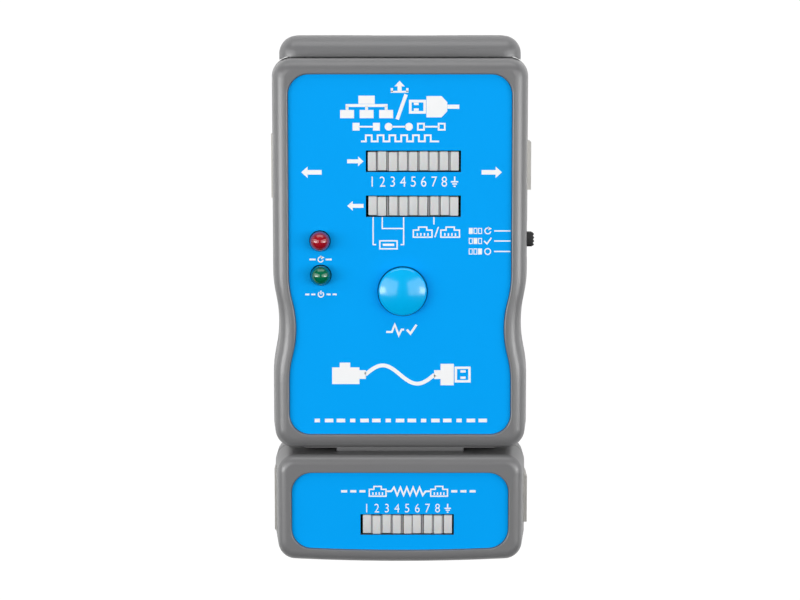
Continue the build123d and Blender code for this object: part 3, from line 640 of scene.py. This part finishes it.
def makeRoundLed(name, node, slotName, x, y):
    radius, flange = roundLed["radius"], roundLed["flange"]
    crown = faceZ + roundLed["proud"] - radius
    low, top = roundLed["flangeLow"], roundLed["flangeTop"]
    profile = [(0, crown + radius), *arcPoints((0, crown), radius, 4, 90, 24), (radius, top),
               (flange - 0.15 * mm, top), (flange, top - 0.15 * mm), (flange, low), (0, low)]
    bm = bmesh.new()
    revolve(bm, profile, 72)
    half = flatLed["legWidth"] / 2
    for legX in (-roundLed["legs"], roundLed["legs"]):
        addBox(bm, (legX - half, -half, flatLed["boardTop"]), (legX + half, half, low + 0.1 * mm))
    mesh = shifted(meshFrom(bm, name, finishOf[slotName], 50), (x, y, 0))
    addPiece(name, mesh, "main_unit", slotName, node)


for lamp in roundLed["lamps"]:
    makeRoundLed(*lamp)


# ---- test button

testButton = {
    "place": (0.65 * mm, 2.7 * mm, 0.0), "radius": 6.0 * mm, "wallTop": 28.0 * mm, "dome": 1.4 * mm,
    "rim": 0.9 * mm, "flange": 6.9 * mm, "flangeTop": 24.35 * mm, "flangeThick": 1.2 * mm,
    "stem": 1.6 * mm, "stemLow": 20.6 * mm,
}


def makeButton():
    radius, dome, rim = testButton["radius"], testButton["dome"], testButton["rim"]
    curve = (radius ** 2 + dome ** 2) / (2 * dome)
    centre = testButton["wallTop"] + dome - curve
    rimOut = radius - rim
    rimUp = centre + math.sqrt((curve - rim) ** 2 - rimOut ** 2)
    lean = math.degrees(math.atan2(rimOut, rimUp - centre))
    top, low = testButton["flangeTop"], testButton["flangeTop"] - testButton["flangeThick"]
    flange, stem = testButton["flange"], testButton["stem"]
    profile = [(0, centre + curve), *arcPoints((0, centre), curve, 1, lean, 16),
               *arcPoints((rimOut, rimUp), rim, lean + 5, 90, 10), (radius, top), (flange, top),
               (flange, low), (stem, low), (stem, testButton["stemLow"]), (0, testButton["stemLow"])]
    bm = bmesh.new()
    revolve(bm, profile, 128)
    mesh = shifted(meshFrom(bm, "testButtonCap", buttonBlue, 40), testButton["place"])
    addPiece("testButtonCap", mesh, "test_button", "button_blue", "test_button")


makeButton()


# ---- ribbed slide knob

slideKnob = {
    "root": 27.1 * mm, "tip": 34.0 * mm, "y": 14.3 * mm, "z": 11.4 * mm, "half": 1.8 * mm,
    "tall": 1.5 * mm, "ribs": 4, "groove": 0.32 * mm, "round": 0.12 * mm, "shoulder": 0.35 * mm,
}


def makeKnob():
    half, tip = slideKnob["half"], slideKnob["tip"]
    outline = [(slideKnob["root"], -half)]
    steps = slideKnob["ribs"] * 12
    for i in range(steps + 1):
        part = i / steps
        wave = 0.5 - 0.5 * math.cos(2 * math.pi * slideKnob["ribs"] * part)
        edge = slideKnob["shoulder"] * (2 * part - 1) ** 6
        y = -half + 2 * half * part
        outline.append((tip - slideKnob["groove"] * (1 - wave) - edge, y))
    outline.append((slideKnob["root"], half))
    bm = bmesh.new()
    low, high = slideKnob["z"] - slideKnob["tall"], slideKnob["z"] + slideKnob["tall"]
    ring = [bm.verts.new((x, y + slideKnob["y"], low)) for x, y in outline]
    foot = bm.faces.new(ring)
    rise = bmesh.ops.extrude_face_region(bm, geom=[foot])["geom"]
    bmesh.ops.translate(bm, verts=[v for v in rise if isinstance(v, bmesh.types.BMVert)],
                        vec=(0, 0, high - low))
    rims = [e for e in bm.edges if abs(e.verts[0].co.z - e.verts[1].co.z) < 1e-7]
    bmesh.ops.bevel(bm, geom=rims, offset=slideKnob["round"], segments=2, profile=0.5, affect="EDGES")
    mesh = meshFrom(bm, "slideKnob", blackPlastic, 50)
    addPiece("slideKnob", mesh, "mode_knob", "black_plastic", "mode_knob")


makeKnob()
print("lamps, button and knob made")


# ---- cross-recess screws

caseScrew = {
    "head": 2.3 * mm, "thick": 1.8 * mm, "shank": 1.1 * mm, "seat": 6.0 * mm, "tip": 18.0 * mm,
    "slot": 0.62 * mm, "slotLong": 2.7 * mm, "slotDeep": 0.9 * mm,
    "main": [(-26.5, 44.9), (26.5, 44.9), (-25.8, -1.4), (25.8, -1.4)],
    "remote": [(-11.4, -47.6), (11.4, -47.6)],
}
boardScrew = {
    "head": 1.9 * mm, "thick": 1.3 * mm, "shank": 0.78 * mm, "seat": 14.2 * mm, "tip": 20.3 * mm,
    "slot": 0.5 * mm, "slotLong": 2.2 * mm, "slotDeep": 0.7 * mm,
    "main": [(-13.5, 44.9), (13.5, 44.9), (-12.5, -1.4), (12.5, -1.4)],
}


def crossBar(name, long, wide, deep, under):
    # a bar that narrows towards the bottom of the recess
    bm = bmesh.new()
    addBox(bm, (-long / 2, -wide / 2, under - deep), (long / 2, wide / 2, under + deep))
    for vert in bm.verts:
        if vert.co.z > under:
            vert.co.x *= 0.45
            vert.co.y *= 0.75
    return partObject(meshFrom(bm, name))


def screwPart(name, size):
    # the head faces down, its seat is at height zero and the shank points up
    head, thick, shank = size["head"], size["thick"], size["shank"]
    long = size["tip"] - size["seat"]
    profile = [(0, -thick), (head * 0.45, -thick), (head * 0.72, -thick * 0.93),
               (head * 0.9, -thick * 0.76), (head, -thick * 0.45), (head, -0.08 * mm),
               (head - 0.08 * mm, 0), (shank, 0)]
    pitch = 0.9 * mm
    turns = int((long - 1.4 * mm) / pitch)
    for i in range(turns):
        low = 0.8 * mm + i * pitch
        profile += [(shank * 0.74, low), (shank, low + pitch * 0.5), (shank * 0.74, low + pitch * 0.85)]
    profile += [(shank * 0.55, long - 0.4 * mm), (0, long)]
    bm = bmesh.new()
    revolve(bm, profile, 40)
    body = partObject(meshFrom(bm, name, screwSteel, 40))
    bpy.context.scene.collection.objects.link(body)
    bars = [crossBar(name + "Bar", size["slotLong"], size["slot"], size["slotDeep"], -thick)
            for _ in range(2)]
    bars[1].data.transform(Matrix.Rotation(math.pi / 2, 4, "Z"))
    for bar in bars:
        bpy.context.scene.collection.objects.link(bar)
        cut = body.modifiers.new("cut", "BOOLEAN")
        cut.operation = "DIFFERENCE"
        cut.solver = "EXACT"
        cut.object = bar
    graph = bpy.context.evaluated_depsgraph_get()
    mesh = bpy.data.meshes.new_from_object(body.evaluated_get(graph), depsgraph=graph)
    for thing in (body, *bars):
        bpy.data.objects.remove(thing)
    return partObject(mesh)


def makeScrews(name, part, spots, seat, body, node, seed):
    # each screw stops at its own angle
    values = {"Part": part, "Finish": screwSteel, "Lean": 0.0, "Turn": 3.1, "Seed": seed}
    points = [(x * mm, y * mm, seat) for x, y in spots]
    addPiece(name, grow(name, scatterTree, values, points), body, "screw_steel", node)


casePart = screwPart("caseScrewPart", caseScrew)
boardPart = screwPart("boardScrewPart", boardScrew)
makeScrews("caseScrews", casePart, caseScrew["main"], caseScrew["seat"], "main_unit", "case_screws", 4)
makeScrews("remoteScrews", casePart, caseScrew["remote"], caseScrew["seat"], "remote", "remote_screws", 9)
makeScrews("boardScrews", boardPart, boardScrew["main"], boardScrew["seat"], "main_unit",
           "board_screws", 2)
print("screws made")


# ---- contact wires of the modular sockets

contactWire = {
    "path": [(-3.3, 1.52), (-4.5, 1.52), (-10.62, 3.66)], "count": 8, "pitch": 1.02 * mm,
    "radius": 0.2 * mm, "bend": 0.8 * mm, "height": 1.0 * mm,
    "sockets": [("txLan", "tx_lan", "main_unit", 1.1, 65.3, 0),
                ("rxLan", "rx_lan", "main_unit", -32.4, 33.0, 90),
                ("remoteLan", "remote_lan", "remote", -32.1, -52.3, 90)],
}


def makeContacts(name, nodeStem, body, x, y, turn):
    first = -(contactWire["count"] - 1) / 2 * contactWire["pitch"]
    points = [(first, run * mm, rise * mm) for run, rise in contactWire["path"]]
    lines = [(i, i + 1) for i in range(len(points) - 1)]
    values = {"Count": contactWire["count"], "Step": (contactWire["pitch"], 0, 0),
              "Thickness": contactWire["radius"], "Bend": contactWire["bend"], "Finish": contactGold}
    place = (x * mm, y * mm, contactWire["height"])
    mesh = grow(name + "Contacts", wireTree, values, points, lines, turn, place)
    mesh.polygons.foreach_set("use_smooth", [True] * len(mesh.polygons))
    addPiece(name + "Contacts", mesh, body, "contact_gold", nodeStem + "_contacts")


for socket in contactWire["sockets"]:
    makeContacts(*socket)
print("contacts made")


# ---- printed marks: every shape is a flat face, thickened at the end

def ribbon(bm, points, width, closed=False):
    spots = [Vector(p) for p in points]
    count = len(spots)
    rails = []
    for i, here in enumerate(spots):
        back = (here - spots[i - 1]).normalized() if i or closed else None
        ahead = (spots[(i + 1) % count] - here).normalized() if i < count - 1 or closed else None
        along = ((back or ahead) + (ahead or back)).normalized()
        across = Vector((-along.y, along.x))
        run = back or ahead
        reach = width / 2 / max(0.4, abs(across.dot(Vector((-run.y, run.x)))))
        rails.append([bm.verts.new((*(here + across * reach * s), 0)) for s in (1, -1)])
    pairs = list(zip(rails, rails[1:])) + ([(rails[-1], rails[0])] if closed else [])
    for one, two in pairs:
        bm.faces.new((one[0], one[1], two[1], two[0]))


def shape(bm, points):
    bm.faces.new([bm.verts.new((x, y, 0)) for x, y in points])


def block(bm, x, y, width, height):
    w, h = width / 2, height / 2
    shape(bm, [(x - w, y - h), (x + w, y - h), (x + w, y + h), (x - w, y + h)])


def frameBox(bm, x, y, width, height, line):
    w, h = (width - line) / 2, (height - line) / 2
    ribbon(bm, [(x - w, y - h), (x + w, y - h), (x + w, y + h), (x - w, y + h)], line, True)


def circlePoints(x, y, radius, start=0, end=360, count=28):
    turns = [math.radians(start + (end - start) * i / count) for i in range(count + 1)]
    return [(x + radius * math.cos(t), y + radius * math.sin(t)) for t in turns]


def disc(bm, x, y, radius):
    shape(bm, circlePoints(x, y, radius)[:-1])


def arrow(bm, x, y, length, height, turn):
    half, back = length / 2, length / 2 - height * 0.55
    stem = height * 0.2
    spots = [(-half, -stem), (back, -stem), (back, -height / 2), (half, 0), (back, height / 2),
             (back, stem), (-half, stem)]
    way = Matrix.Rotation(math.radians(turn), 2)
    shape(bm, [tuple(Vector((x, y)) + way @ Vector(spot)) for spot in spots])


def loopArrow(bm, x, y, radius, line):
    ribbon(bm, circlePoints(x, y, radius, 60, 350, 20), line)
    tip = Vector(circlePoints(x, y, radius, 60, 61, 1)[0])
    shape(bm, [(tip.x - line * 1.3, tip.y + line * 1.7), (tip.x - line * 0.6, tip.y - line * 1.9),
               (tip.x + line * 2.4, tip.y - line * 0.2)])


def groundMark(bm, x, y, height):
    line = height * 0.13
    block(bm, x, y + height * 0.27, line, height * 0.46)
    for width, drop in ((0.72, 0.02), (0.46, 0.24), (0.2, 0.46)):
        block(bm, x, y - height * drop, height * width, line)


def plugMark(bm, x, y, width, height):
    # a modular plug seen from its mouth
    line = height * 0.13
    w, low, high, top = width / 2, y - height / 2, y + height * 0.2, y + height / 2
    n = width * 0.22
    ribbon(bm, [(x - w, low), (x + w, low), (x + w, high), (x + n, high), (x + n, top), (x - n, top),
                (x - n, high), (x - w, high)], line, True)
    for i in range(4):
        block(bm, x + (i - 1.5) * width * 0.19, low + height * 0.26, line, height * 0.28)


def numeral(text, height):
    # a digit of Blender's own outline font, thinned and narrowed a little
    curve = bpy.data.curves.new("digit", "FONT")
    curve.body = text
    curve.align_x = "CENTER"
    curve.offset = ink["digitThinning"]
    holder = bpy.data.objects.new("digit", curve)
    bpy.context.scene.collection.objects.link(holder)
    graph = bpy.context.evaluated_depsgraph_get()
    mesh = bpy.data.meshes.new_from_object(holder.evaluated_get(graph), depsgraph=graph)
    bpy.data.objects.remove(holder)
    rise = [v.co.y for v in mesh.vertices]
    size = height / (max(rise) - min(rise))
    mesh.transform(Matrix.Diagonal((size * ink["digitWidth"], size, size, 1)))
    return mesh


def numberRow(bm, x, y, height):
    # one digit over each flat LED, and a ground sign over the last
    pitch = flatLed["pitch"] / mm
    last = flatLed["count"] - 1
    for i in range(last):
        digit = numeral(str(i + 1), height)
        low = min(v.co.y for v in digit.vertices)
        digit.transform(Matrix.Translation((x + (i - last / 2) * pitch, y - height / 2 - low, 0)))
        bm.from_mesh(digit)
    groundMark(bm, x + last / 2 * pitch, y, height)


def thicken(bm, name, height, thickness):
    made = bmesh.ops.extrude_face_region(bm, geom=bm.faces[:])["geom"]
    tops = [v for v in made if isinstance(v, bmesh.types.BMVert)]
    bmesh.ops.translate(bm, verts=tops, vec=(0, 0, thickness / mm))
    mesh = meshFrom(bm, name, printWhite, 30)
    mesh.transform(Matrix.Translation((0, 0, height)) @ Matrix.Diagonal((mm, mm, mm, 1)))
    return mesh


ink = {"thickness": 0.025 * mm, "fine": 0.3, "bold": 0.85, "digitThinning": -0.006, "digitWidth": 0.86}


def topMarks(bm):
    # arrow out to the end sockets, then a network tree, a slash and a cable plug
    arrow(bm, -0.1, 53.4, 2.5, 2.5, 90)
    for x in (-2.0, 1.8):
        block(bm, x, 52.4, 0.55, 0.9)
    block(bm, -0.1, 51.95, 4.35, 0.45)
    block(bm, -8.2, 50.0, 4.0, 2.0)
    for x in (-13.0, -8.2, -3.4):
        block(bm, x, 46.5, 3.4, 2.0)
        block(bm, x, 47.9, 0.7, 0.9)
    block(bm, -8.2, 48.6, 10.3, 0.7)
    ribbon(bm, [(-0.7, 45.2), (1.5, 51.3)], ink["bold"])
    frameBox(bm, 4.3, 48.3, 4.2, 3.4, 0.65)
    block(bm, 4.0, 49.0, 1.2, 0.6)
    block(bm, 4.0, 47.6, 1.2, 0.6)
    shape(bm, [(6.5, 45.7), (10.2, 45.7), (11.6, 47.2), (11.6, 49.4), (10.2, 50.9), (6.5, 50.9)])
    block(bm, 13.1, 48.3, 2.9, 1.0)
    # three kinds of cable, and the pulse that a tester sends
    for i, x in enumerate((-8.3, -0.3, 7.7)):
        block(bm, x, 43.4, 3.4, 0.4)
        for side in (-1, 1):
            if i == 0:
                block(bm, x + side * 2.5, 43.4, 1.7, 1.9)
            elif i == 1:
                disc(bm, x + side * 2.5, 43.4, 0.95)
            else:
                frameBox(bm, x + side * 2.55, 43.4, 1.9, 1.9, 0.4)
    beats = [(-9.6, 39.8)]
    for i in range(6):
        x = -8.4 + i * 2.9
        beats += [(x, 39.8), (x, 41.3), (x + 1.45, 41.3), (x + 1.45, 39.8)]
    ribbon(bm, [*beats, (9.6, 39.8)], 0.42)


def rowMarks(bm):
    arrow(bm, -11.0, 34.9, 4.0, 2.4, 0)
    arrow(bm, -11.0, 23.9, 4.0, 2.4, 180)
    arrow(bm, -21.8, 32.2, 5.0, 2.8, 180)
    arrow(bm, 22.6, 32.2, 5.0, 2.8, 0)
    numberRow(bm, 3.3, 29.9, 2.5)
    # which lamps belong to which socket
    fine = ink["fine"]
    ribbon(bm, [(-6.64, 21.1), (-6.64, 14.3), (-5.9, 14.3)], fine)
    ribbon(bm, [(0.9, 21.1), (0.9, 14.3), (0.15, 14.3)], fine)
    ribbon(bm, [(-4.38, 21.1), (-4.38, 18.3), (0.75, 18.3)], fine)
    ribbon(bm, [(8.38, 21.1), (8.38, 19.3)], fine)
    frameBox(bm, -2.85, 14.25, 4.6, 2.3, 0.32)
    block(bm, -2.85, 14.25, 2.8, 0.55)
    plugMark(bm, 5.6, 17.4, 4.6, 2.5)
    ribbon(bm, [(8.6, 16.1), (9.5, 18.7)], fine)
    plugMark(bm, 12.4, 17.4, 4.6, 2.5)


def switchMarks(bm):
    # the slide's three places: repeat, once and off
    for i, y in enumerate((17.7, 15.2, 12.6)):
        ribbon(bm, [(23.3, y), (27.3, y)], ink["fine"])
        for j in range(3):
            if j == i:
                block(bm, 17.5 + j * 1.15, y, 0.95, 1.5)
            else:
                frameBox(bm, 17.5 + j * 1.15, y, 0.95, 1.5, 0.2)
    loopArrow(bm, 21.7, 17.7, 0.72, 0.26)
    ribbon(bm, [(20.8, 15.2), (21.5, 14.5), (22.6, 16.0)], 0.32)
    ribbon(bm, circlePoints(21.7, 12.6, 0.72, 0, 360, 24)[:-1], 0.26, True)


def lampMarks(bm):
    for side in (-1, 1):
        block(bm, -19.65 + side * 2.0, 10.6, 1.5, 0.42)
        for step in (1.9, 3.4):
            block(bm, -19.6 + side * step, 1.9, 1.0, 0.42)
    loopArrow(bm, -19.65, 10.6, 0.62, 0.26)
    ribbon(bm, circlePoints(-19.6, 1.9, 0.66, 125, 415, 22), 0.3)
    block(bm, -19.6, 2.35, 0.3, 0.95)
    ribbon(bm, [(-3.4, -7.5), (-2.0, -7.5), (-1.3, -5.7), (-0.3, -8.3), (0.4, -6.9), (1.0, -6.9)], 0.48)
    ribbon(bm, [(1.7, -6.9), (2.6, -7.9), (4.1, -5.7)], 0.55)


def cableMark(bm):
    # a cable with a modular plug at one end and a flat plug at the other
    wave = [(-8.6 + 17.2 * i / 40, -18.2 + 2.3 * math.sin(2 * math.pi * i / 40)) for i in range(41)]
    ribbon(bm, wave, 0.95)
    block(bm, -9.3, -18.2, 1.6, 2.2)
    shape(bm, [(-16.9, -20.6), (-10.1, -20.6), (-10.1, -16.4), (-12.4, -16.4), (-12.4, -15.2),
               (-15.0, -15.2), (-15.0, -16.4), (-16.9, -16.4)])
    block(bm, 9.3, -18.2, 1.6, 2.2)
    shape(bm, [(10.1, -20.9), (13.4, -20.9), (13.4, -15.5), (10.1, -15.5)])
    frameBox(bm, 15.6, -18.2, 4.0, 4.0, 0.6)
    for y in (-17.4, -19.0):
        block(bm, 15.7, y, 1.3, 0.6)


def footMarks(bm):
    for i in range(15):
        block(bm, (i - 7) * 2.95, -29.8, 2.1 if i % 3 else 1.3, 0.9)


def remoteMarks(bm):
    # a closed end: plug, resistor, plug
    zigzag = [(-3.4, -47.8), (-2.2, -47.8)]
    for i in range(5):
        zigzag += [(-1.5 + i * 1.6, -46.8), (-0.7 + i * 1.6, -48.8)]
    zigzag += [(6.4, -47.8), (7.6, -47.8)]
    ribbon(bm, zigzag, 0.42)
    for x in (-5.6, 9.8):
        plugMark(bm, x, -47.8, 4.2, 2.5)
    for side, x in ((-1, -8.2), (1, 12.4)):
        for i in range(3):
            block(bm, x + side * (1.2 + i * 2.3), -47.8, 1.5, 0.6)
    numberRow(bm, 1.8, -52.1, 2.2)


def makePrints():
    mainInk = bmesh.new()
    for draw in (topMarks, rowMarks, switchMarks, lampMarks, cableMark, footMarks):
        draw(mainInk)
    remoteInk = bmesh.new()
    remoteMarks(remoteInk)
    for name, bm, body in (("faceMarks", mainInk, "main_unit"), ("remoteMarks", remoteInk, "remote")):
        addPiece(name, thicken(bm, name, faceZ, ink["thickness"]), body, "white_plastic")


makePrints()
print("marks printed")


# ---- finishes on the CAD parts that still show

def dressNode(name):
    mesh = cad[name].data
    finish = finishOf[slotOf[name]]
    if not mesh.materials:
        mesh.materials.append(finish)
    for i in range(len(mesh.materials)):
        mesh.materials[i] = finish


for nodeName in cad:
    dressNode(nodeName)
print("finishes on", len(cad), "nodes")
